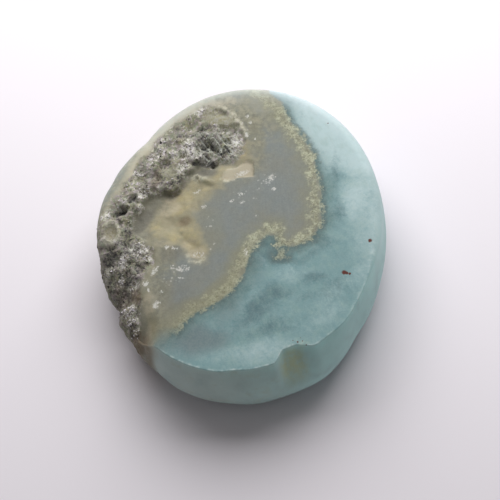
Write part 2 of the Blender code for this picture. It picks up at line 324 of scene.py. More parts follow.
# lines and patches that the colours follow
zones = {
    "blueEdge": (
        (2.2, 24.0), (2.9, 18.5), (3.5, 17.2), (4.4, 16.4), (4.8, 15.6), (5.0, 14.4), (5.8, 12.8),
        (7.1, 10.5), (8.1, 8.6), (8.2, 6.5), (8.9, 4.0), (8.6, 2.0), (8.7, 0.0), (8.2, -1.2),
        (7.0, -2.3), (6.0, -3.0), (5.2, -3.0), (4.5, -2.6), (4.0, -1.6),
        (2.8, -1.5), (2.2, -2.0), (1.3, -2.8), (0.7, -4.0), (0.5, -5.5), (0.0, -6.8),
        (-0.8, -8.0), (-2.0, -9.3), (-3.5, -10.2), (-5.0, -10.9), (-6.0, -11.5),
        (-6.6, -12.4), (-7.8, -13.3), (-9.2, -14.1), (-10.6, -14.9), (-14.0, -17.0), (-18.0, -24.0),
        (30.0, -24.0), (30.0, 24.0),
    ),
    "mossLine": (
        (0.6, 20.0), (1.6, 17.6), (3.0, 16.6), (4.0, 15.4), (4.5, 14.2), (5.6, 12.1), (6.8, 10.2),
        (7.4, 9.0), (7.8, 6.5), (8.0, 5.0), (8.1, 3.0), (8.2, 0.0), (7.5, -1.7), (6.1, -2.6),
        (4.9, -2.9), (4.6, -3.6), (4.3, -4.3), (4.5, -3.2), (4.3, -2.0), (4.0, -1.0), (3.0, -0.8), (1.5, -2.0), (0.5, -3.5), (0.0, -5.0),
        (-0.7, -6.5), (-1.5, -8.0), (-3.0, -9.3), (-5.0, -10.3), (-6.3, -11.6), (-6.9, -12.6),
    ),
    "tanFloor": (
        (-7.4, 5.6), (-5.7, 6.8), (-3.6, 6.3), (-2.0, 7.9), (-0.9, 8.2), (-0.6, 10.4),
        (0.3, 10.8), (1.2, 9.0), (1.2, 8.2), (-0.9, 7.8), (-1.1, 6.7), (-2.5, 5.4), (-3.9, 3.8), (-5.0, 2.2),
        (-5.2, 0.5), (-4.5, -1.1), (-3.8, -3.1), (-4.2, -4.4), (-6.1, -3.2), (-6.6, -1.8),
        (-8.4, -2.0), (-9.6, -1.1), (-10.2, 1.4), (-9.5, 3.0), (-8.2, 4.4),
    ),
    "tanStrip": (
        (-9.8, -1.0), (-9.4, -4.0), (-10.2, -6.0), (-10.6, -8.0), (-10.0, -9.6), (-9.5, -12.0),
        (-9.9, -14.5),
    ),
    "bandStripe": ((-14.6, 2.6), (-12.9, 5.6), (-11.9, 8.4), (-10.2, 11.2), (-7.9, 13.6), (-5.4, 15.4)),
    "cream": (
        (-2.2, 6.2), (-1.6, 5.8), (-0.4, 6.2), (1.4, 6.3), (1.3, 8.2), (0.6, 8.5), (-0.6, 7.7),
        (-1.7, 7.5),
    ),
    "creamEdge": ((-2.3, 6.1), (-1.6, 5.8), (-0.6, 6.1)),
    "paleRim": ((-2.9, 16.4), (-1.9, 15.8), (-1.1, 15.2), (-0.2, 13.6), (0.5, 11.9)),
    "paleCrest": ((-5.5, 7.4), (-4.9, 6.8), (-4.3, 6.5)),
    "darkRim": ((-0.3, 14.4), (0.4, 13.5), (0.9, 12.6)),
    "paleRing": ((-5.9, -3.6), (-5.6, -4.4), (-4.6, -4.7), (-4.0, -4.1)),
    "leanWithDepth": (-0.32, 0.2),  # how the colours shift from the top down through the stone
    # dark rock of the crust, with painted shade along its cracks and under its front edge
    "dark": (
        (-8.1, 7.0, 1.0, 0.7, 20, 0.8), (-11.6, -1.1, 0.7, 0.5, 0, 0.5),
        (-2.6, 10.3, 3.0, 2.3, -38, 0.42), (-4.0, 12.2, 1.6, 1.0, -30, 0.5), (-1.1, 12.7, 0.4, 0.3, 0, 0.8),
        (-2.2, 9.7, 1.4, 1.0, -30, 0.6), (-10.6, 6.3, 1.4, 1.0, 50, 0.3),
        (-13.4, 2.6, 0.8, 0.35, 40, 1.1), (-12.1, 4.1, 0.6, 0.35, 40, 1.0), (-4.0, 8.4, 1.9, 0.35, -20, 1.1), (-7.0, 6.7, 1.5, 0.5, 50, 0.7),
        (-12.6, -0.4, 0.5, 2.2, -10, 0.6), (-14.3, -3.0, 1.5, 0.7, 10, 0.75), (-12.3, -2.9, 0.8, 0.6, 0, 0.9),
        (-11.6, -4.6, 1.3, 0.8, 0, 0.75), (-13.2, -8.0, 2.2, 1.0, -60, 0.5), (-12.8, -4.8, 3.8, 2.6, 75, 0.5),
        (-11.9, -11.4, 0.8, 0.6, -80, 0.9), (-11.2, -8.0, 0.5, 1.4, 0, 0.6), (-8.2, 7.4, 1.5, 0.9, 60, 0.3), (-9.6, 6.7, 0.6, 1.4, -10, 0.3),
    ),
    "grains": (
        (-11.2, -2.1, 1.3, 1.0, -20, 1.2), (-13.0, -3.5, 0.7, 0.9, 0, 1.2), (-10.2, -3.7, 0.6, 0.5, 0, 1.0),
        (-13.2, -5.6, 0.45, 0.6, 0, 1.0), (-15.0, -4.4, 0.45, 0.5, 0, 0.9), (-12.3, -9.3, 0.9, 0.8, 0, 1.2),
        (-13.9, -1.4, 1.0, 0.3, -20, 0.7), (-12.1, -10.5, 0.9, 0.35, 0, 1.0), (-11.4, -11.9, 0.4, 0.6, 0, 0.8),
        (-12.0, 1.3, 0.7, 0.5, 30, 0.8), (-11.2, 3.0, 0.7, 0.4, 50, 0.8),
        (-6.0, 10.4, 0.9, 1.5, 10, 0.8), (-6.6, 8.2, 1.1, 0.6, 50, 0.9), (-4.6, 9.2, 0.9, 0.35, -35, 0.7),
        (-0.7, 11.3, 0.6, 1.5, -10, 0.8), (-4.8, 15.7, 1.0, 0.6, 30, 0.8), (-11.7, 7.5, 0.8, 0.3, 0, 0.9),
        (-11.0, 4.9, 1.0, 0.6, 30, 0.7), (-15.2, 2.2, 0.8, 0.9, 0, 0.6), (-11.6, 1.6, 0.8, 0.5, 30, 0.6),
        (-9.6, 9.8, 1.4, 0.7, 40, 0.35), (-11.8, -6.6, 0.8, 0.6, 0, 0.7), (-14.7, -4.1, 0.7, 0.5, 0, 0.7),
        (-2.4, 13.1, 1.6, 0.4, -30, 0.6), (-7.6, 10.0, 0.6, 0.6, 0, 0.5),
    ),
    "smooth": ((-2.4, 14.3, 2.3, 1.1, -22, 1.0), (-3.2, 16.2, 1.8, 0.8, -8, 0.7), (-7.9, 7.5, 1.2, 0.8, 60, 0.8), (-14.4, -0.2, 0.8, 1.3, 0, 1.0)),
    "glints": (
        (-9.4, -5.4, 0.75, 0.35, 60, 0.95), (-10.4, -7.0, 0.45, 0.4, 60, 1.0),
        (-10.0, -7.8, 0.3, 0.15, 110, 0.9), (-9.1, -9.7, 0.6, 0.45, 60, 0.95),
        (-6.4, -5.3, 0.85, 0.5, 0, 0.8), (-6.5, -6.5, 0.4, 0.14, -15, 0.95),
        (-8.6, -8.1, 0.3, 0.2, 0, 0.9), (-8.2, -2.5, 0.25, 0.3, 0, 0.9), (-7.4, -5.0, 0.4, 0.3, 0, 0.75),
        (0.7, 14.5, 0.25, 0.25, 0, 0.85), (1.0, 13.6, 0.25, 0.25, 0, 0.85),
        (0.6, 11.9, 0.35, 0.4, 0, 0.85), (1.5, 11.3, 0.18, 0.18, 0, 0.9),
        (3.2, 5.8, 0.9, 0.5, 50, 0.75), (3.6, 4.4, 0.3, 0.25, 0, 0.85), (-4.8, -3.6, 0.9, 0.5, 0, 0.6),
        (-0.1, 4.0, 0.35, 0.3, 0, 0.8), (-1.0, 3.1, 0.35, 0.25, 0, 0.8), (0.1, 2.9, 0.35, 0.2, 0, 0.8),
        (-4.2, 2.6, 0.4, 0.25, 0, 0.8), (0.1, 6.9, 1.0, 0.4, 25, 0.75), (-5.0, 5.0, 0.6, 0.4, 0, 0.7),
        (-7.4, -2.6, 0.6, 0.25, -20, 0.7), (0.5, -3.6, 0.25, 0.5, 0, 0.7), (1.7, 1.0, 0.2, 0.2, 0, 0.7),
    ),
    "specks": (
        (0.4, 3.8, 2.4, 1.2, 10, 0.8), (2.6, 5.6, 1.4, 1.0, 30, 1.0), (-3.6, 0.6, 0.8, 2.4, 0, 0.6),
        (-7.4, -6.2, 2.2, 2.4, 0, 0.6), (-3.2, -2.4, 0.6, 1.2, 0, 0.7), (0.8, 13.4, 0.6, 1.6, 0, 0.6),
    ),
    # cream patches of the crust and hollow; the two beside the crust's foot at (-8, 3.2) and (-7.9, 4.4) lighten its
    # shadow there, painted light
    "pale": (
        (-4.9, -3.4, 1.1, 0.8, 0, 0.9), (-5.8, -2.2, 1.0, 0.7, 50, 0.5), (-4.6, 16.1, 0.6, 0.35, 30, 1.0),
        (-3.0, 16.3, 1.9, 0.8, -8, 1.1), (-1.2, 16.9, 1.0, 0.6, -20, 0.9), (-7.9, 4.4, 0.9, 0.5, 20, 0.9), (-10.4, 11.8, 1.0, 0.7, 50, 1.0), (-8.4, -2.0, 1.4, 0.5, -10, 0.5),
        (-11.6, 10.2, 0.5, 0.5, 0, 0.6), (-9.9, -9.4, 0.9, 1.4, 0, 0.7), (-8.0, 3.2, 1.5, 1.0, 30, 0.8), (-10.0, -12.8, 0.4, 1.4, -5, 0.45),
    ),
    "blades": ((-2.6, 10.4, 3.3, 2.5, -38, 1.0), (-12.9, 3.3, 1.6, 0.8, 55, 0.5)),
    # grey slab beside the crust, and painted shade in the trough at the crust's foot
    "slate": (
        (-11.0, 1.6, 2.4, 0.8, 60, 0.85), (-10.2, 3.5, 1.0, 0.5, 45, 0.4), (-7.4, 5.6, 1.2, 0.7, 50, 0.7),
        (-3.9, 7.4, 1.5, 0.7, -12, 0.9), (-7.6, -3.4, 1.4, 0.9, 20, 0.5), (-10.2, -0.2, 1.0, 0.7, 60, 0.3),
        (-7.4, -8.7, 2.4, 2.4, 0, 0.3),
    ),
    "umber": (
        (-14.4, -0.3, 0.7, 1.1, 0, 0.4), (-6.3, 0.9, 0.8, 0.7, 0, 0.85), (-9.6, 6.7, 0.5, 1.6, -10, 0.6), (-11.0, -13.2, 2.2, 1.0, -52, 1.0),
        (-11.5, -8.0, 1.2, 0.7, -70, 0.9), (-12.9, -8.0, 1.0, 1.0, 0, 0.5), (-13.4, -6.6, 0.8, 1.0, 0, 0.4),
        (-14.6, -8.0, 1.6, 1.0, -60, 0.5),
    ),
    "olive": (
        (-5.2, -10.4, 2.6, 1.3, 20, 0.8), (-7.6, -11.4, 2.2, 1.8, 40, 0.7), (1.8, 12.0, 0.9, 3.6, 8, 0.6),
        (0.2, 16.2, 2.4, 0.8, -20, 0.4), (-10.0, -13.0, 1.6, 1.4, -50, 0.5), (-8.6, -9.0, 1.6, 2.4, 0, 0.5),
        (-3.2, -0.6, 1.6, 3.4, 10, 0.4), (-8.6, -3.8, 1.6, 2.0, 20, 0.5), (3.6, 15.6, 1.4, 2.0, 0, 0.5),
        (1.2, 7.6, 1.6, 0.8, 60, 0.5), (-2.2, -8.2, 2.8, 1.4, 48, 0.8),
        (0.0, -5.0, 1.6, 2.4, -25, 0.6),
    ),
    "softEdge": ((-9.4, -14.0, 3.4, 2.0, 35, 1.0),),
    "thin": ((4.4, -4.0, 1.0, 1.1, 0, 1.0), (4.6, -3.3, 0.5, 0.4, 0, 1.6), (8.0, 4.6, 0.9, 1.2, 0, 0.7)),
    # paler grey along the back edge: painted light from the lamp behind
    "greyPale": ((1.6, 15.9, 4.0, 1.2, -4, 1.0),),
    "stain": ((5.5, -16.9, 1.5, 1.5, 20, 1.0), (6.6, -15.2, 0.8, 0.35, 10, 0.6)),
    "haze": (
        (-4.6, -14.4, 4.4, 1.8, 18, 1.0), (-8.2, -14.6, 2.6, 1.2, 25, 1.0), (-1.6, -10.6, 2.4, 1.4, 40, 0.5),
        (1.6, -7.0, 1.6, 1.6, 0, 0.25),
    ),
    "deepBlue": (
        (3.7, -8.8, 1.9, 1.2, 30, 0.9), (2.0, -10.6, 3.0, 1.8, 40, 1.0), (3.0, -13.0, 3.0, 1.5, 10, 0.7),
        (9.4, -9.2, 2.4, 1.3, 20, 0.5), (2.8, -4.2, 1.8, 1.2, -10, 1.4), (7.4, -7.5, 1.5, 1.0, -20, 0.7),
        (9.0, -3.0, 1.9, 1.3, 40, 0.9), (10.2, 0.6, 1.1, 1.9, 0, 0.6), (9.8, 5.6, 0.8, 2.4, -8, 0.5),
        (0.5, -8.4, 1.3, 0.8, 50, 0.5), (-4.3, -13.4, 3.0, 1.1, 20, 0.6), (6.3, -9.9, 1.6, 0.9, 0, 0.4),
        (0.9, -5.6, 1.4, 0.9, 60, 0.9), (-1.4, -9.6, 2.2, 0.9, 45, 0.9),
        (2.6, -2.8, 1.2, 1.2, -15, 1.1), (4.8, -4.4, 1.9, 0.9, -10, 1.0), (7.4, -4.4, 1.6, 0.8, 0, 0.55),
    ),
    # pale clouds in the blue; the large one at the back right is partly painted light
    "cloud": (
        (11.2, 11.6, 8.4, 5.0, -48, 1.3), (14.8, 2.0, 3.6, 9.0, 0, 0.45), (12.9, -6.6, 3.4, 1.2, 58, 0.3),
        (12.6, 2.8, 2.6, 3.4, 0, 0.75),
        (2.2, -15.8, 6.0, 1.3, 4, 0.42), (9.0, -12.2, 2.6, 1.3, 35, 0.32),
        (1.7, -4.9, 1.3, 1.0, 40, 0.3), (5.3, -6.2, 2.0, 1.0, 0, 0.3), (8.8, -10.8, 3.2, 1.4, 40, 0.2),
    ),
}


def outlineRadius(angle):
    radius = numpy.full(angle.shape, stone["meanRadius"])
    for lobes, height, direction in stone["lobes"]:
        radius += height * numpy.cos(lobes * numpy.radians(angle - direction))
    for direction, height, width in stone["swells"]:
        radius += height * bell(turnFrom(direction, angle), width)
    return radius


def edgeRoll(angle):
    rounded = rise(*stone["roundBetween"], numpy.sin(numpy.radians(angle)))
    extra, direction, width = stone["polishedEdge"]
    polished = bell(turnFrom(direction, angle), width)
    return stone["sharpEdge"] + (stone["roundEdge"] - stone["sharpEdge"]) * rounded + extra * polished


def wallInset(angle, height):
    top = stone["thickness"]
    share = (height - stone["girdleHeight"]) / (top - stone["girdleHeight"])
    directions, leans = zip(*stone["edgeLean"])
    lean = sum(numpy.interp(angle + turn, directions, leans, period=360.0) for turn in (-1.5, 0.0, 1.5)) / 3.0
    notch = stone["notchDepth"] * window(angle, stone["notchAngles"])
    return lean * share**2 + notch * rise(top - stone["notchHeight"], top, height)


def wander(x, y):
    size = crust["wanderSize"]
    flat = numpy.zeros(x.shape)
    return (
        x + crust["wander"] * noiseAt(x, y, flat, size, 3.0),
        y + crust["wander"] * noiseAt(x, y, flat, size, 9.0),
    )


def lumpsAt(x, y, z):
    return sum(height * noiseAt(x, y, z, size) for size, height in crust["lumps"])


def pitsAt(x, y, z, cell, depth, reach):
    places = numpy.column_stack((x / cell, y / cell, z / cell)).tolist()
    nearest = numpy.array([noise.voronoi(place)[0][0] for place in places])
    return depth * (1.0 - rise(*reach, nearest))


# the relief past the solid's, and how hollow or proud each place is, for painted shade in the hollows and painted
# light on what stands proud
def fineRelief(x, y, z, openness):
    height = numpy.zeros(x.shape)
    lie = numpy.zeros(x.shape)
    granular = patchesAt(x, y, crust["granular"])
    for index, (size, amount) in enumerate(crust["crests"]):
        crests = crestsAt(x, y, z, size, 17.0 * (index + 1)) * (1.0 - 0.85 * granular)
        height += amount * crests
        lie += 0.3 * crests
    for size, amount, slope, gap in crust["chips"]:
        chips, gaps = chipsAt(x, y, z, size, slope, gap, 71.0 / size)
        height += (amount * chips - crust["gapDepth"] * gaps) * (0.45 + 0.55 * openness) * (1.0 - 0.4 * granular)
        lie += (0.35 * chips - 0.5 * gaps) * (0.5 + 0.5 * openness) * (1.0 - 0.35 * granular)
    size, amount = crust["knobs"]
    near, beyond, away, draws = cellsAt(x, y, z, size, 29.0)
    knobs = ((0.35 + 0.65 * draws[:, 0]) * (1.0 - rise(0.05, 0.65, near)) - 0.3) * granular
    height += amount * knobs
    lie += 0.9 * knobs
    amount, direction, width, length = crust["streakShape"]
    c, s = math.cos(math.radians(direction)), math.sin(math.radians(direction))
    blades = chipsAt((x * c + y * s) / length, (y * c - x * s) / width, z, 1.0, 1.2, 0.2, 5.0)
    inStreaks = patchesAt(x, y, crust["streaks"])
    height += amount * (blades[0] - blades[1]) * inStreaks
    lie += 0.8 * (blades[0] - blades[1]) * inStreaks
    size, amount = crust["fineNoise"]
    skin = noiseAt(x, y, z, size, 41.0)
    return height + amount * skin, numpy.clip(lie + 0.5 * skin, -1.8, 1.8)


# height of the upper surface, and what the colours need to know about it
def upperSurface(x, y):
    flat = numpy.zeros(x.shape)
    wx, wy = wander(x, y)
    hollowSide = insideLine(wx, wy, crust["hollow"])
    hollowDepth = crust["hollowDepth"] * rise(0.0, crust["hollowSlope"], hollowSide)
    crustSide = insideLine(wx, wy, crust["edge"])
    rough = rise(-0.5 * crust["step"], 0.5 * crust["step"], crustSide)

    lumps, pits, fine, lie = (numpy.zeros(x.shape) for each in range(4))
    near = crustSide > -1.2
    openness = patchesAt(x[near], y[near], crust["open"])
    lumps[near] = lumpsAt(x[near], y[near], flat[near])
    pits[near] = pitsAt(x[near], y[near], flat[near], crust["pitCell"], crust["pitDepth"], crust["pitReach"])
    fine[near], lie[near] = fineRelief(x[near], y[near], flat[near], openness)
    calm = 1.0 - 0.7 * patchesAt(x, y, zones["smooth"])
    fine, lie = fine * calm, lie * calm

    crustDepth = crust["drop"] - lumps + pits - fine
    for path, depth, width in crust["cracks"]:
        crack = bell(toPath(wx, wy, path), width)
        crustDepth += depth * crack
        lie -= 0.8 * crack
    crustDepth -= patchesAt(x, y, crust["knolls"], (0.2, 1.2))
    crustDepth *= 0.2 + 0.8 * rise(0.0, crust["bandEase"], toPath(wx, wy, polishedBand))
    cupX, cupY, cupWide, cupLong = crust["cup"]
    cup = numpy.hypot((x - cupX) / cupWide, (y - cupY) / cupLong)
    sink, proud, rimWidth = crust["cupShape"]
    cupTop = 1.0 - rise(1.15, 1.45, cup)
    smooth = sink * rise(1.0, 0.2, cup) - proud * bell(cup - 1.02, rimWidth)
    crustDepth += (smooth - crustDepth) * cupTop * (0.55 + 0.45 * rise(1.0, 0.8, cup))
    lie *= 1.0 - 0.8 * cupTop
    lie -= 1.6 * bell(cup - 1.42, 0.16)

    inHollow = hollowSide > 0.0
    ripple = numpy.zeros(x.shape)
    for size, amount in crust["floorNoise"]:
        ripple[inHollow] += amount * noiseAt(x[inHollow], y[inHollow], flat[inHollow], size, 23.0)
    hollowDepth -= ripple * rise(0.0, 1.5, hollowSide)

    depth = hollowDepth + (crustDepth - hollowDepth) * rough
    for path, height, width in crust["ridges"]:
        depth -= height * bell(toPath(wx, wy, path), width)
    near, far = crust["ledgeDepth"]
    onLedge = rise(-0.1, 0.12, insideLine(x, y, zones["cream"]))
    depth += (near + (far - near) * rise(-2.2, 1.2, x) - depth) * onLedge * (1.0 - rough)
    lie = lie * rough - 0.9 * pits * rough
    return stone["thickness"] - numpy.maximum(depth, 0.0), lie, crustSide, hollowSide


# the side of the stone from the top edge down to the middle of the base
def sideProfile(angle, ring):
    top, girdle = stone["thickness"], stone["girdleHeight"]
    roll = edgeRoll(angle)
    foot = top - roll
    rollRings, wallRings, underRings = (stone[k] for k in ("rollRings", "wallRings", "underRings"))
    if ring <= rollRings:
        turn = 0.5 * math.pi * (1.0 - ring / rollRings)
        return wallInset(angle, foot) + roll * (1.0 - math.cos(turn)), foot + roll * math.sin(turn)
    ring -= rollRings
    if ring <= wallRings:
        height = foot + (girdle - foot) * ring / wallRings
        return wallInset(angle, height), height
    turn = 0.5 * math.pi * min((ring - wallRings) / underRings, 1.0)
    inset = stone["restInset"] * (1.0 - math.cos(turn) ** stone["underFullness"])
    return numpy.full(angle.shape, inset), numpy.full(angle.shape, girdle * (1.0 - math.sin(turn)))


def readPlaces(mesh):
    places = numpy.empty(len(mesh.vertices) * 3)
    mesh.vertices.foreach_get("co", places)
    return places.reshape(-1, 3)


def writePlaces(mesh, places):
    mesh.vertices.foreach_set("co", places.ravel())
    mesh.update()


def writeValues(mesh, name, values):
    attribute = mesh.attributes.new(name, "FLOAT", "POINT")
    attribute.data.foreach_set("value", numpy.ascontiguousarray(values, dtype=numpy.float32))


def makeStone():
    squares, half, top = stone["gridSquares"], stone["meanRadius"], stone["thickness"]
    rings = stone["rollRings"] + stone["wallRings"] + stone["underRings"] + stone["baseRings"]
    deselectAll()
    bpy.ops.mesh.primitive_grid_add(
        x_subdivisions=squares, y_subdivisions=squares, size=2.0 * half * mm, location=(0.0, 0.0, top * mm)
    )
    piece = bpy.context.object
    piece.name = piece.data.name = "stone"
    bpy.ops.object.transform_apply(location=True, rotation=True, scale=True)

    # the square sheet becomes a round one, closer meshed on the crust's side
    places = readPlaces(piece.data) / mm
    u, v = places[:, 0] / half, places[:, 1] / half
    u = u - stone["leftDensity"] * (1.0 - u * u)
    places[:, 0] = half * u * numpy.sqrt(1.0 - 0.5 * v * v)
    places[:, 1] = half * v * numpy.sqrt(1.0 - 0.5 * u * u)
    writePlaces(piece.data, places * mm)

    # its rim is drawn down ring by ring, and the last ring closed
    bpy.ops.object.mode_set(mode="EDIT")
    bpy.ops.mesh.select_mode(type="EDGE")
    bpy.ops.mesh.select_all(action="DESELECT")
    bpy.ops.mesh.select_non_manifold(
        extend=False, use_wire=False, use_boundary=True, use_multi_face=False,
        use_non_contiguous=False, use_verts=False,
    )
    drop = stone["ringDrop"] * mm
    for ring in range(rings):
        bpy.ops.mesh.extrude_region_move(TRANSFORM_OT_translate={"value": (0.0, 0.0, -drop)})
    bpy.ops.mesh.edge_face_add()
    bpy.ops.mesh.select_all(action="SELECT")
    bpy.ops.mesh.normals_make_consistent(inside=False)
    bpy.ops.object.mode_set(mode="OBJECT")
    return piece


def shapeStone(piece):
    top, girdle = stone["thickness"], stone["girdleHeight"]
    places = readPlaces(piece.data) / mm
    ringOf = numpy.rint((top - places[:, 2]) / stone["ringDrop"]).astype(int)
    angle = numpy.degrees(numpy.arctan2(places[:, 1], places[:, 0])) % 360.0
    share = numpy.hypot(places[:, 0], places[:, 1]) / stone["meanRadius"]

    roll = edgeRoll(angle)
    reach = outlineRadius(angle) - wallInset(angle, top - roll) - roll
    x = share * reach * numpy.cos(numpy.radians(angle))
    y = share * reach * numpy.sin(numpy.radians(angle))
    z, lie, crustSide, hollowSide = upperSurface(x, y)
    deep, wide, limits = crust["shoulder"]
    z -= deep * window(angle, limits) * numpy.clip(1.0 - (1.0 - share) * reach / wide, 0.0, 1.0) ** 2
    print("upper surface shaped")

    # how far the rim lies below the top, evened out more and more going down the side
    rim = ringOf == 1
    order = numpy.argsort(angle[rim])
    around = numpy.linspace(0.0, 360.0, 1024, endpoint=False)
    waves = numpy.fft.rfft(numpy.interp(around, angle[rim][order], (top - z)[rim][order], period=360.0))
    steps = numpy.arange(len(waves)) * math.radians(stone["evenPerRing"])
    lastShaped = stone["rollRings"] + stone["wallRings"] + stone["underRings"]
    radius = outlineRadius(angle)
    for ring in range(1, ringOf.max() + 1):
        on = ringOf == ring
        inset, height = sideProfile(angle[on], min(ring, lastShaped))
        above = numpy.maximum(height - girdle, 0.0) / (top - girdle)
        below = numpy.minimum(height / girdle, 1.0)
        out = radius[on] - inset
        if ring > lastShaped:
            out = out * (1.0 - (ring - lastShaped) / (stone["baseRings"] + 0.5))
        evened = numpy.fft.irfft(waves * numpy.exp(-0.5 * (steps * ring) ** 2), len(around))
        height = height - numpy.interp(angle[on], around, evened, period=360.0) * above
        cosine, sine = numpy.cos(numpy.radians(angle[on])), numpy.sin(numpy.radians(angle[on]))
        reachWindow = window(angle[on], crust["wallAngles"])
        rough = reachWindow > 0.0
        bulge, shade = numpy.zeros(out.shape), numpy.zeros(out.shape)
        if rough.any() and ring <= lastShaped:
            ax, ay, az = (out * cosine)[rough], (out * sine)[rough], height[rough]
            fine, reliefShadeHere = fineRelief(ax, ay, az, patchesAt(ax, ay, crust["open"]))
            amount = (reachWindow * below**2)[rough]
            bulge[rough] = amount * (crust["wallRoughness"] * lumpsAt(ax, ay, az) + 0.8 * fine)
            bulge[rough] -= crust["wallSink"] * reachWindow[rough]
            shade[rough] = reliefShadeHere * amount
        x[on], y[on], z[on] = (out + bulge) * cosine, (out + bulge) * sine, height
        lie[on] = shade
        wx, wy = wander(x[on], y[on])
        ragged = noiseAt(x[on], y[on], height, 2.0, 7.0)
        crustSide[on] = insideLine(wx, wy, crust["edge"]) + 2.4 * ragged * rise(1.0, 8.0, ring)
        crustSide[on] = numpy.minimum(crustSide[on], height - 2.2 + 1.2 * ragged)
        hollowSide[on] = insideLine(wx, wy, crust["hollow"])
    middle = stone["middle"]
    writePlaces(piece.data, numpy.column_stack((x + middle[0], y + middle[1], z)) * mm)

    # the colour lines lean as they go down through the stone
    depth = top - z
    drift = 0.32 * numpy.maximum(depth - 0.6, 0.0)
    zx = x - zones["leanWithDepth"][0] * depth + drift * noiseAt(x, y, z, 7.0, 51.0)
    zy = y - zones["leanWithDepth"][1] * depth + drift * noiseAt(x, y, z, 7.0, 67.0)
    shallow = 1.0 - rise(1.5, 4.5, depth)
    mesh = piece.data
    writeValues(mesh, "blueSide", insideLine(zx, zy, zones["blueEdge"]))
    writeValues(mesh, "mossLine", toPath(zx, zy, zones["mossLine"]))
    writeValues(mesh, "tanFloor", insideLine(x, y, zones["tanFloor"]))
    writeValues(mesh, "tanStrip", toPath(x, y, zones["tanStrip"]))
    writeValues(mesh, "cream", insideLine(x, y, zones["cream"]) * shallow - 3.0 * (1.0 - shallow))
    cupX, cupY, cupWide, cupLong = crust["cup"]
    cup = numpy.hypot((x - cupX) / cupWide, (y - cupY) / cupLong)
    # pale crests and rims of the crust, partly a painted highlight where they catch the light
    paleLines = 0.85 * bell(cup - 1.04, 0.2)
    for name, width in (("creamEdge", 0.2), ("paleRim", 0.3), ("paleCrest", 0.35), ("paleRing", 0.22)):
        paleLines = numpy.maximum(paleLines, bell(toPath(x, y, zones[name]), width))
    writeValues(mesh, "darkRim", bell(toPath(x, y, zones["darkRim"]), 0.13))
    writeValues(mesh, "bandStripe", bell(toPath(x, y, zones["bandStripe"]), 0.9) * (y > 1.0))
    writeValues(mesh, "paleLines", paleLines * shallow)
    writeValues(mesh, "crustSide", crustSide)
    writeValues(mesh, "hollowSide", hollowSide)
    writeValues(mesh, "lie", lie)
    writeValues(mesh, "side", rise(0.6, 5.5, ringOf))
    for name in (
        "dark", "grains", "smooth", "glints", "specks", "blades", "pale", "slate", "umber", "olive",
        "softEdge", "thin", "greyPale", "stain",
    ):
        values = patchesAt(x, y, zones[name])
        if name == "stain":
            values = values * (1.0 - rise(1.5, 5.5, depth)) * (0.3 + 0.7 * rise(0.05, 0.7, depth))
        elif name not in ("dark", "umber"):
            values = values * shallow
        writeValues(mesh, name, values)
    cloudX = x + 1.2 * noiseAt(x, y, z, 2.6, 71.0)
    cloudY = y + 1.2 * noiseAt(x, y, z, 2.6, 83.0)
    for name in ("haze", "deepBlue", "cloud"):
        writeValues(mesh, name, patchesAt(cloudX, cloudY, zones[name], (0.1, 1.5)) * shallow)

    # painted light: paler colour near the thin edge at the back, where light comes through it
    fromEdge = numpy.where(ringOf == 0, (1.0 - share) * reach + roll, 0.2 * roll * (stone["rollRings"] - ringOf))
    turned = (angle + 90.0) % 360.0
    thinEdge = bell(fromEdge, 1.2) * window(turned, (55, 85, 235, 265)) * (1.0 - rise(1.5, 6.5, depth))
    writeValues(mesh, "thinEdge", thinEdge)
    glow = bell(numpy.maximum(fromEdge, 0.0), 1.55) * window(angle, (35, 72, 122, 142))
    writeValues(mesh, "glow", glow * (1.0 - rise(1.0, 3.5, depth)))

    # wear along the sharp front edge, with a painted highlight on it
    fromEdge = numpy.where(ringOf == 0, (1.0 - share) * reach, 0.04 * ringOf)
    fromEdge = numpy.where(ringOf > stone["rollRings"], 0.25 * (ringOf - stone["rollRings"]), fromEdge)
    wornAndLit = bell(fromEdge, 0.09) * (1.0 - rise(0.3, 0.9, roll))
    wornAndLit *= rise(234.0, 246.0, angle) * (1.0 - 0.65 * rise(280.0, 330.0, angle))
    softWornAndLit = bell(numpy.where(ringOf < 3, fromEdge, 9.0), 0.16) * window(angle, (308, 318, 340, 356))
    writeValues(mesh, "edgeWear", numpy.maximum(wornAndLit, 0.6 * softWornAndLit))
    deselectAll()
    piece.select_set(True)
    bpy.context.view_layer.objects.active = piece
    bpy.ops.object.shade_smooth_by_angle(angle=math.radians(stone["crease"]))


stonePiece = makeStone()
print("stone meshed:", len(stonePiece.data.polygons), "faces")
shapeStone(stonePiece)
print("stone shaped")


# ---------- finishes

class Signal:
    # a number that varies over the surface and takes part in sums
    def __init__(self, finish, socket):
        self.finish, self.socket = finish, socket

    def sum(self, operation, first, second):
        return self.finish.add("ShaderNodeMath", {"operation": operation}, {0: first, 1: second})

    def __add__(self, other):
        return self.sum("ADD", self, other)

    def __radd__(self, other):
        return self.sum("ADD", other, self)

    def __sub__(self, other):
        return self.sum("SUBTRACT", self, other)

    def __rsub__(self, other):
        return self.sum("SUBTRACT", other, self)

    def __mul__(self, other):
        return self.sum("MULTIPLY", self, other)

    def __rmul__(self, other):
        return self.sum("MULTIPLY", other, self)

    def __truediv__(self, other):
        return self.sum("DIVIDE", self, other)


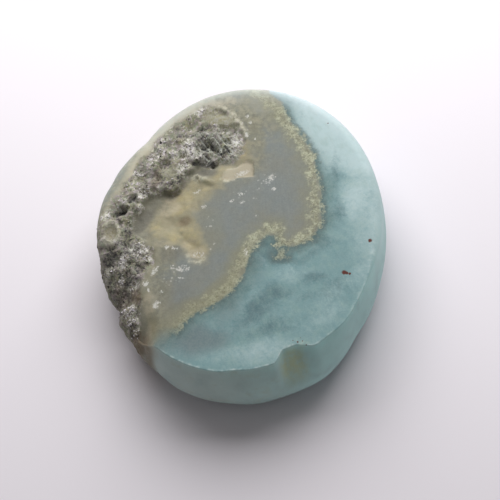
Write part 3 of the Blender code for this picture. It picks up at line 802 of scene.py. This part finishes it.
class Finish:
    def __init__(self, name):
        self.material = bpy.data.materials.new(name)
        self.material.use_nodes = True
        self.tree = self.material.node_tree
        self.tree.nodes.clear()

    # any node: its settings first, then the values or links of its sockets
    def add(self, kind, settings=None, values=None, output=0):
        node = self.tree.nodes.new(kind)
        for name, setting in (settings or {}).items():
            if name == "stops":
                while len(node.color_ramp.elements) < len(setting):
                    node.color_ramp.elements.new(0.5)
                for element, (position, colour) in zip(node.color_ramp.elements, setting):
                    element.position = position
                    element.color = (*colour, 1.0)
            else:
                setattr(node, name, setting)
        for name, value in (values or {}).items():
            socket = node.inputs[name]
            if isinstance(value, Signal):
                self.tree.links.new(value.socket, socket)
            else:
                socket.default_value = value
        return Signal(self, node.outputs[output])

    def value(self, name):
        return self.add("ShaderNodeAttribute", {"attribute_name": name}, output="Fac")

    def rise(self, low, high, value):
        return self.add(
            "ShaderNodeMapRange", {"interpolation_type": "SMOOTHSTEP"},
            {"Value": value, "From Min": low, "From Max": high},
        )

    def larger(self, first, second):
        return self.add("ShaderNodeMath", {"operation": "MAXIMUM"}, {0: first, 1: second})

    def smaller(self, first, second):
        return self.add("ShaderNodeMath", {"operation": "MINIMUM"}, {0: first, 1: second})

    # colours are given as linear red, green and blue
    def mix(self, share, first, second, blend="MIX"):
        first, second = (c if isinstance(c, (Signal, float)) else (*c, 1.0) for c in (first, second))
        return self.add(
            "ShaderNodeMix", {"data_type": "RGBA", "blend_type": blend, "clamp_factor": True},
            {0: share, 6: first, 7: second}, output=2,
        )

    def millimetres(self, stretch=(1.0, 1.0, 1.0), turn=0.0):
        place = self.add("ShaderNodeTexCoord", output="Object")
        if turn:
            place = self.add("ShaderNodeMapping", {}, {"Vector": place, "Rotation": (0.0, 0.0, math.radians(-turn))})
        return self.add("ShaderNodeMapping", {}, {"Vector": place, "Scale": tuple(s / mm for s in stretch)})

    # cloudy pattern around zero, from about -0.5 to 0.5
    def cloudy(self, place, size, detail=2.0, roughness=0.5, distortion=0.0):
        return self.add(
            "ShaderNodeTexNoise", {},
            {"Vector": place, "Scale": 1.0 / size, "Detail": detail, "Roughness": roughness, "Distortion": distortion},
        ) - 0.5

    def cells(self, place, size, feature="F1", output="Distance", randomness=1.0):
        return self.add(
            "ShaderNodeTexVoronoi", {"feature": feature},
            {"Vector": place, "Scale": 1.0 / size, "Randomness": randomness}, output=output,
        )

    def surface(self, values):
        return self.add("ShaderNodeBsdfPrincipled", {}, values)

    def close(self, shader):
        output = self.tree.nodes.new("ShaderNodeOutputMaterial")
        self.tree.links.new(shader.socket, output.inputs["Surface"])
        return self.material


# linear colour from the usual 0 to 255 numbers
def tint(red, green, blue):
    return tuple(((c / 255.0 + 0.055) / 1.055) ** 2.4 for c in (red, green, blue))


stoneFinish = {
    "grey": tint(113, 121, 120),
    "greyWarm": tint(117, 118, 107),
    "greyPale": tint(144, 147, 138),
    "scratch": tint(136, 141, 137),
    "blue": tint(110, 144, 147),
    "blueDeep": tint(80, 110, 115),
    "blueGreen": tint(116, 146, 138),
    "bluePale": tint(168, 190, 192),
    "halo": tint(86, 111, 108),
    "haze": tint(100, 117, 120),
    "fringe": tint(72, 92, 91),
    # the front and right wall colours and the grey wall colour are paler than the face's: painted light for light that
    # comes through the stone and off the floor
    "sideFrontPaintedLight": tint(177, 195, 190),
    "sideRightPaintedLight": tint(175, 216, 213),
    "sideBack": tint(160, 188, 190),
    "sideOlive": tint(158, 162, 138),
    "sideDeep": tint(132, 160, 162),
    "sideGreyPaintedLight": tint(162, 168, 156),
    # painted light at the thin back edge and painted glow along the back rim
    "rim": tint(222, 234, 236),
    "glowGrey": tint(184, 186, 178),
    "glowBlue": tint(202, 212, 216),
    "mossDark": tint(96, 93, 66),
    "mossPale": tint(177, 181, 157),
    "mossBrown": tint(112, 96, 66),
    "tan": tint(140, 135, 112),
    "tanPale": tint(166, 156, 118),
    "tanOlive": tint(124, 126, 98),
    "tanEdge": tint(126, 125, 110),
    "cream": tint(170, 163, 143),
    "blotchDark": tint(97, 97, 80),
    "blotchPale": tint(145, 142, 120),
    "slate": tint(98, 97, 90),
    "umber": tint(112, 98, 78),
    "rockDark": tint(67, 66, 66),
    "rockMiddle": tint(146, 146, 134),
    "rockPale": tint(190, 188, 168),
    "rockBrown": tint(132, 125, 116),
    "rockOlive": tint(132, 131, 100),
    "rockGreen": tint(118, 134, 112),
    "rockLilac": tint(150, 138, 148),
    "paleLilac": tint(198, 192, 198),
    "rockSmooth": tint(131, 128, 98),
    "needle": tint(176, 180, 172),
    "bandStripe": tint(182, 176, 154),
    "white": tint(212, 212, 206),
    "glint": tint(200, 200, 194),
    "olive": tint(125, 124, 98),
    "stain": tint(184, 190, 142),
    "sand": tint(196, 196, 186),
    # pale worn front edge, partly a painted highlight
    "edge": tint(206, 222, 220),
    "redSpot": tint(84, 36, 24),
}

# spots of rust in the polished face: x, y, radius
rustSpots = (
    (14.0, -2.9, 0.24), (11.1, -6.75, 0.29), (11.4, -6.85, 0.2), (11.7, -6.95, 0.16), (9.8, 12.9, 0.1),
    (5.5, -14.8, 0.07), (6.0, -15.0, 0.1), (6.5, -14.9, 0.08), (6.9, -15.4, 0.08), (6.3, -14.5, 0.05),
)


def makeStoneFinish():
    f = Finish("larimar")
    c = stoneFinish
    place = f.millimetres()
    blueSide, mossLine = f.value("blueSide"), f.value("mossLine")
    crustSide, hollowSide = f.value("crustSide"), f.value("hollowSide")
    lie = f.value("lie")

    broad = f.cloudy(place, 3.2, 3.0, 0.5, 0.4)
    bends = f.cloudy(place, 1.3, 2.0)
    ragged = f.cloudy(place, 0.5, 3.0, 0.6)
    fine = f.cloudy(place, 0.16, 2.0, 0.6)
    warp = f.add("ShaderNodeTexNoise", {}, {"Vector": place, "Scale": 3.0, "Detail": 2.0}, output="Color")
    bent = f.add("ShaderNodeVectorMath", {"operation": "MULTIPLY_ADD"}, {0: warp, 1: (0.5, 0.5, 0.5), 2: place})
    grit = f.cells(bent, 0.36, output="Color") - 0.5
    crumbs = f.cells(bent, 0.2, output="Color") - 0.5

    # grey agate side: plain, a little warmer near the crust and the band
    grey = f.mix(f.rise(-0.25, 0.35, broad + f.value("olive") * 0.3) * 0.8, c["grey"], c["greyWarm"])
    scratches = f.cloudy(f.millimetres((9.0, 0.3, 1.0), 4.0), 1.0, 2.0, 0.6)
    grey = f.mix(f.rise(-0.1, 0.35, scratches) * 0.15, grey, c["scratch"])
    grey = f.mix(f.value("olive") * 0.55, grey, c["olive"])
    # paler towards the back edge: painted light from the lamp behind
    grey = f.mix(f.value("greyPale") * 0.8, grey, c["greyPale"])

    # blue side: softly cloudy and fibrous, dark beside the band, paler at the back right with pale clouds and painted
    # light
    fibres = f.cloudy(f.millimetres((1.0, 0.3, 0.6), 28.0), 0.5, 4.0, 0.6, 0.3)
    mottle = f.cloudy(place, 2.6, 3.0, 0.55, 0.3)
    threads = fibres * 0.4 + ragged * 0.4 + bends * 0.2 + fine * 0.25
    blue = f.mix(f.rise(-0.1, 0.95, f.value("cloud") + mottle * 0.4 + threads), c["blue"], c["bluePale"])
    blue = f.mix(f.rise(0.0, 1.0, f.value("deepBlue") * 0.8 - mottle * 0.6 - threads), blue, c["blueDeep"])
    blue = f.mix(f.rise(-0.1, 0.35, bends + fibres * 0.8 - broad * 0.5) * 0.3, blue, c["blueGreen"])
    blue = f.mix(f.value("haze") * 0.9, blue, c["haze"])
    halo = f.rise(2.4, 0.0, blueSide + bends * 1.6)
    blue = f.mix(halo * (0.75 - f.value("cloud") * 0.5), blue, c["halo"])
    soft, side = f.value("softEdge"), f.value("side")
    blueEdge = blueSide + bends * (0.7 + side * 2.0) + ragged * (0.7 + side * 0.8)
    blueMask = f.rise(-0.16, 0.16, blueEdge * (1.0 - soft * 0.9) * (1.0 - side * 0.72))
    # walls: paler than the face, most at the front right, painted light for light coming through the stone and off the
    # floor; olive and deeper mottles
    east = f.add("ShaderNodeSeparateXYZ", {}, {"Vector": place}, output="X")
    sideBluePaintedLight = f.mix(f.rise(-6.0, 13.0, east + mottle * 8.0), c["sideFrontPaintedLight"], c["sideRightPaintedLight"])
    north = f.add("ShaderNodeSeparateXYZ", {}, {"Vector": place}, output="Y")
    sideBluePaintedLight = f.mix(f.rise(-3.0, 9.0, north + mottle * 6.0), sideBluePaintedLight, c["sideBack"])
    oliveSide = f.rise(0.0, 0.35, bends + broad * 0.6) * f.rise(8.0, 1.0, east)
    sideBluePaintedLight = f.mix(oliveSide * 0.35, sideBluePaintedLight, c["sideOlive"])
    sideBluePaintedLight = f.mix(f.rise(0.0, 0.5, ragged * 0.4 - mottle) * 0.4, sideBluePaintedLight, c["sideDeep"])
    grey = f.mix(side, grey, c["sideGreyPaintedLight"])
    blue = f.mix(side * (0.9 + mottle * 0.5), blue, sideBluePaintedLight)
    colour = f.mix(blueMask, grey, blue)

    # the granular band between them, with a dark fringe on the blue side
    reach = 0.62 + bends * 1.4 + ragged * 1.1 - mossLine - f.value("thin") * 0.3
    fringe = f.rise(-0.9, -0.1, reach) * blueMask
    colour = f.mix(fringe * 0.75, colour, c["fringe"])
    colour = f.mix(f.rise(-2.0, 0.1, reach + bends) * (1.0 - blueMask) * 0.45, colour, c["olive"])
    sharpBand = f.rise(-0.3, 0.3, reach + grit * 0.4 + fine * 0.6)
    softBand = f.rise(-0.4, 0.6, reach + ragged * 1.2)
    band = softBand + blueMask * (sharpBand - softBand)
    moss = f.mix(
        f.rise(-0.55, 0.45, ragged * 1.0 + crumbs * 0.35 + fine * 1.4 + bends * 0.5), c["mossDark"], c["mossPale"]
    )
    moss = f.mix(f.rise(0.1, 0.32, fine - ragged * 0.4) * 0.75, moss, c["mossBrown"])
    moss = f.mix(f.value("olive") * 0.55, moss, c["olive"])
    colour = f.mix(band * (0.8 + bends * 0.6) * (1.0 - soft * 0.75) * (1.0 - f.value("thin") * 0.3), colour, moss)

    # blotches of tan and brown towards the crust
    nearCrust = f.rise(-4.2, -0.8, crustSide + bends * 2.5) * (1.0 - blueMask)
    blotch = f.mix(f.rise(-0.35, 0.35, bends * 0.7 + ragged * 1.4 + grit * 0.25), c["blotchDark"], c["blotchPale"])
    colour = f.mix(nearCrust * f.rise(-0.5, 0.1, broad + ragged) * 0.75, colour, blotch)

    # the floor of the hollow
    inHollow = f.rise(-1.0, 1.6, hollowSide + bends * 1.2)
    colour = f.mix(inHollow * 0.75, colour, c["tanEdge"])
    tanMask = f.rise(-0.9, 0.9, f.value("tanFloor") + bends * 1.4 + ragged * 0.7)
    strip = f.rise(1.0, 0.2, f.value("tanStrip") + bends * 1.4 + ragged * 0.8)
    tanned = f.mix(f.rise(-0.15, 0.35, broad + bends * 0.6 + fine * 0.4), c["tan"], c["tanPale"])
    tanned = f.mix(f.rise(0.0, 0.3, ragged * 0.8 + fine * 0.9) * 0.45, tanned, c["tanOlive"])
    colour = f.mix(f.larger(tanMask, strip * 0.35), colour, tanned)
    creamMask = f.rise(-0.15, 0.15, f.value("cream") + ragged * 0.5)
    colour = f.mix(creamMask * f.rise(-0.8, 0.0, bends + ragged) * 0.9, colour, c["cream"])
    # cream patches; beside the crust's foot they also lift its shadow with painted light
    colour = f.mix(f.value("pale") * f.rise(-0.5, 0.2, ragged + bends) * 0.7, colour, c["cream"])
    colour = f.mix(f.value("bandStripe") * 0.85, colour, c["bandStripe"])

    # grey slab, painted shade in the trough at the crust's foot, and a dark line along the crust's rim
    slate = f.larger(f.value("slate") * f.rise(-0.6, 0.1, ragged + bends), f.value("darkRim") * 0.8)
    colour = f.mix(slate * 0.8, colour, c["slate"])

    # crust: painted shade in its pits and painted light on what stands proud, with pale needles in its dark part
    crustMask = f.rise(-0.3, 0.25, crustSide + ragged * 1.0 + grit * 0.3)
    # dark: dark rock of the crust, with painted shade along its cracks and under its front edge
    dark, clumps = f.value("dark"), f.value("grains")
    grains = (grit * 0.9 + crumbs * 0.8 + fine * 0.5) * (0.85 + clumps * 0.45 + (1.0 - dark) * 0.15)
    tone = lie * 0.28 + ragged * 0.6 + bends * 0.3 + grains - dark * 0.62 + clumps * 0.45 + 0.05
    rock = f.mix(f.rise(-0.25, 0.25, f.cloudy(bent, 1.1, 2.0)), c["rockMiddle"], c["rockBrown"])
    rock = f.mix(f.rise(-0.15, 0.2, f.cloudy(place, 1.7, 2.0)) * 0.85, rock, c["rockOlive"])
    hues = f.cells(bent, 0.27, output="Color")
    rock = f.mix(f.rise(0.54, 0.66, hues) * 0.4, rock, c["rockLilac"])
    rock = f.mix(f.rise(0.44, 0.32, hues) * 0.4, rock, c["rockGreen"])
    paleRock = f.mix(f.rise(0.48, 0.62, hues), c["rockPale"], c["paleLilac"])
    rock = f.mix(f.rise(-0.85, -0.05, tone), c["rockDark"], rock)
    rock = f.mix(f.rise(0.2, 0.75, tone), rock, paleRock)
    for turn, strength in ((-52.0, 0.85), (34.0, 0.4)):
        needles = f.cloudy(f.millimetres((0.5, 4.6, 1.0), turn), 1.0, 1.0, 0.5)
        rock = f.mix(f.rise(0.03, 0.17, needles) * f.value("blades") * strength, rock, c["needle"])
    rock = f.mix(clumps * f.rise(-0.3, 0.25, ragged * 0.8 + crumbs + grit * 0.5) * 0.7, rock, c["white"])
    calm = f.mix(f.rise(-0.3, 0.3, ragged + fine), c["rockSmooth"], c["rockMiddle"])
    rock = f.mix(f.value("smooth") * 0.85, rock, calm)
    colour = f.mix(crustMask, colour, rock)
    colour = f.mix(f.value("umber") * f.rise(-0.5, 0.1, ragged + bends) * 0.75, colour, c["umber"])
    # pale crests and rims, partly a painted highlight
    paleLines = f.value("paleLines") * f.rise(-0.35, 0.25, ragged + grit * 0.5)
    colour = f.mix(paleLines * 0.8, colour, c["rockPale"])

    # pale grains ground flush with the face
    broken = f.cloudy(place, 0.32, 3.0, 0.7)
    glints = f.rise(0.25, 0.85, f.value("glints") * 0.85 + broken * 2.0 + crumbs * 0.7 + fine * 0.6 - 0.08)
    glints = glints * f.rise(0.02, 0.35, f.value("glints"))
    dots = f.rise(0.34, 0.2, f.cells(place, 0.42) + fine * 0.5)
    dots = dots * f.rise(0.5, 0.8, f.value("specks") + bends * 0.9 + f.cells(place, 0.42, output="Color") * 0.5 - 0.25)
    colour = f.mix(f.larger(glints * 0.8, dots * 0.35), colour, c["glint"])
    colour = f.mix(f.rise(-0.3, 0.3, fine + grit * 0.3) * 0.08, colour, c["sand"])

    # painted light coming through the thin back edge
    colour = f.mix(f.value("thinEdge") * (1.0 - crustMask) * (0.24 + ragged * 0.2), colour, c["rim"])

    # stain in the notch, rust spots, the worn front edge with a painted highlight on it, and a painted glow along the
    # thin back rim
    colour = f.mix(f.value("stain") * f.rise(-0.5, 0.2, ragged + bends) * 0.65, colour, c["stain"])
    for x, y, radius in rustSpots:
        spot = (x + stone["middle"][0], y + stone["middle"][1], stone["thickness"])
        away = f.add("ShaderNodeVectorMath", {"operation": "DISTANCE"}, {0: place, 1: spot}, output="Value")
        colour = f.mix(f.rise(radius * 1.2, radius * 0.6, away + fine * 0.2), colour, c["redSpot"])
    # worn front edge, partly a painted highlight
    wornAndLit = f.value("edgeWear") * f.rise(-0.25, 0.35, ragged + bends + broad)
    colour = f.mix(wornAndLit * 0.6, colour, c["edge"])
    # painted glow along the back rim
    glow = f.mix(blueMask, c["glowGrey"], c["glowBlue"])
    colour = f.mix(f.value("glow") * (1.0 - crustMask * 0.7) * (0.7 + ragged * 0.5), colour, glow)

    polishedBump = fine * 0.25 + scratches * 0.2 + band * ragged * 0.4
    roughBump = ragged * 1.6 + fine * 2.0 + grit * 0.8 + crumbs * 0.5
    bumpHeight = polishedBump + crustMask * (roughBump - polishedBump) + inHollow * (fine + ragged) * 0.8
    bump = f.add("ShaderNodeBump", {}, {"Strength": 0.5, "Distance": 0.06 * mm, "Height": bumpHeight}, output="Normal")
    dull = f.larger(crustMask, inHollow * 0.75)
    polished = f.surface({
        "Base Color": colour, "Roughness": 0.5 + fine * 0.1 + band * 0.1 + dull * 0.3, "Normal": bump,
        "Subsurface Weight": 0.3, "Subsurface Radius": (0.7, 0.95, 1.0), "Subsurface Scale": 3.0 * mm,
        "Specular IOR Level": 0.14,
    })
    rocky = f.surface({
        "Base Color": colour, "Roughness": 0.8 + fine * 0.2, "Normal": bump, "Specular IOR Level": 0.2,
    })
    return f.close(f.add("ShaderNodeMixShader", {}, {0: crustMask, 1: polished, 2: rocky}))


stonePiece.data.materials.clear()
stonePiece.data.materials.append(makeStoneFinish())
print("stone finished")


# ---------- loose-looking grains that stand in the crust

grainSet = {
    "seed": 11,
    "shapes": 5,
    "count": 1100,
    "size": (0.06, 0.19),  # smallest and largest radius
    "sink": 0.45,
    "flatten": (0.45, 1.0),
    "paleShare": 0.3,
    "darkShare": 0.18,
}


# a few angular chips, each cut from a small ball
def makeChips(rng):
    chips = []
    for index in range(grainSet["shapes"]):
        deselectAll()
        bpy.ops.mesh.primitive_ico_sphere_add(subdivisions=1, radius=1.0)
        chip = bpy.context.object
        bpy.ops.object.mode_set(mode="EDIT")
        for cut in range(3):
            normal = Vector((rng.uniform(-1, 1), rng.uniform(-1, 1), rng.uniform(-1, 1))).normalized()
            bpy.ops.mesh.select_all(action="SELECT")
            bpy.ops.mesh.bisect(
                plane_co=normal * rng.uniform(0.45, 0.7), plane_no=normal, use_fill=True, clear_outer=True
            )
        bpy.ops.mesh.select_all(action="SELECT")
        bpy.ops.mesh.quads_convert_to_tris()
        bpy.ops.mesh.normals_make_consistent(inside=False)
        bpy.ops.object.mode_set(mode="OBJECT")
        faces = [tuple(polygon.vertices) for polygon in chip.data.polygons]
        chips.append((readPlaces(chip.data), faces))
        bpy.data.objects.remove(chip, do_unlink=True)
    return chips


def makeGrains(piece):
    rng = random.Random(grainSet["seed"])
    chips = makeChips(rng)
    mesh = piece.data
    places = readPlaces(mesh)
    normals = numpy.empty(len(mesh.vertices) * 3)
    mesh.vertices.foreach_get("normal", normals)
    normals = normals.reshape(-1, 3)
    read = {}
    for name in ("crustSide", "dark", "grains", "smooth"):
        read[name] = numpy.empty(len(mesh.vertices), dtype=numpy.float32)
        mesh.attributes[name].data.foreach_get("value", read[name])
    # where grains may stand, with the closer mesh on the left evened out
    x = places[:, 0] / mm
    chance = rise(0.0, 0.6, read["crustSide"]) * (0.08 + 1.4 * read["grains"] ** 2 + 0.12 * read["dark"])
    chance *= 1.0 - numpy.clip(read["smooth"], 0.0, 1.0)
    chance *= numpy.where(places[:, 2] > 4.0 * mm, 1.0, 0.0)
    chance *= numpy.clip((x + 24.0) / 16.0, 0.3, 1.0)
    chosen = numpy.random.default_rng(grainSet["seed"]).choice(
        len(x), size=grainSet["count"], replace=False, p=chance / chance.sum()
    )
    allPlaces, allFaces, tones = [], [], []
    start = 0
    for vertex in chosen.tolist():
        chipPlaces, chipFaces = chips[rng.randrange(len(chips))]
        small, large = grainSet["size"]
        radius = small + (large - small) * rng.random() ** 2.6
        scale = Matrix.Diagonal((
            rng.uniform(*grainSet["flatten"]), rng.uniform(*grainSet["flatten"]), rng.uniform(*grainSet["flatten"])
        ))
        axis = Vector((rng.uniform(-1, 1), rng.uniform(-1, 1), rng.uniform(-1, 1)))
        turn = Matrix.Rotation(rng.uniform(0.0, 2.0 * math.pi), 3, axis)
        shape = numpy.array(turn @ scale) * radius * mm
        centre = places[vertex] + normals[vertex] * radius * mm * (0.5 - grainSet["sink"])
        allPlaces.append(chipPlaces @ shape.T + centre)
        allFaces.extend(tuple(corner + start for corner in face) for face in chipFaces)
        start += len(chipPlaces)
        pick = rng.random() - 0.35 * read["grains"][vertex] + 0.2 * read["dark"][vertex]
        if pick < grainSet["paleShare"]:
            tone = rng.uniform(0.75, 1.0)
        elif pick > 1.0 - grainSet["darkShare"]:
            tone = rng.uniform(0.0, 0.25)
        else:
            tone = rng.uniform(0.3, 0.7)
        tones.append(numpy.full(len(chipPlaces), tone))
    grains = bpy.data.meshes.new("crustGrains")
    grains.from_pydata(numpy.concatenate(allPlaces).tolist(), [], allFaces)
    grains.update()
    writeValues(grains, "tone", numpy.concatenate(tones))
    grainPiece = bpy.data.objects.new("crustGrains", grains)
    bpy.context.scene.collection.objects.link(grainPiece)
    return grainPiece


grainFinish = {
    "dark": tint(38, 37, 35),
    "brown": tint(118, 112, 98),
    "tan": tint(160, 156, 138),
    "pale": tint(206, 204, 204),
    "lilac": tint(200, 192, 206),
}


def makeGrainFinish():
    f = Finish("crustGrain")
    c = grainFinish
    place = f.millimetres()
    tone = f.value("tone") + f.cloudy(place, 0.3, 2.0) * 0.25
    colour = f.mix(f.rise(0.1, 0.35, tone), c["dark"], c["brown"])
    colour = f.mix(f.rise(0.4, 0.65, tone), colour, c["tan"])
    colour = f.mix(f.rise(0.7, 0.85, tone), colour, c["pale"])
    colour = f.mix(f.rise(0.9, 1.0, tone) * 0.6, colour, c["lilac"])
    bump = f.add(
        "ShaderNodeBump", {}, {"Strength": 0.4, "Distance": 0.03 * mm, "Height": f.cloudy(place, 0.12, 2.0)},
        output="Normal",
    )
    return f.close(f.surface({
        "Base Color": colour, "Roughness": 0.62 - f.rise(0.7, 0.9, tone) * 0.25, "Normal": bump,
        "Specular IOR Level": 0.3,
    }))


grainPiece = makeGrains(stonePiece)
grainPiece.data.materials.append(makeGrainFinish())
print("grains set:", len(grainPiece.data.polygons), "faces")


# ---------- floor

def makeFloor():
    deselectAll()
    bpy.ops.mesh.primitive_plane_add(size=ground["size"] * mm)
    floor = bpy.context.object
    floor.name = floor.data.name = "floor"
    f = Finish("paper")
    floor.data.materials.append(f.close(f.surface({
        "Base Color": (*ground["colour"], 1.0), "Roughness": ground["roughness"], "Specular IOR Level": 0.2,
    })))
    return floor


floorPiece = makeFloor()

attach(stonePiece, "root")
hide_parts("larimar_cabochon")
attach(grainPiece, "root")
print("pieces set on the frame")
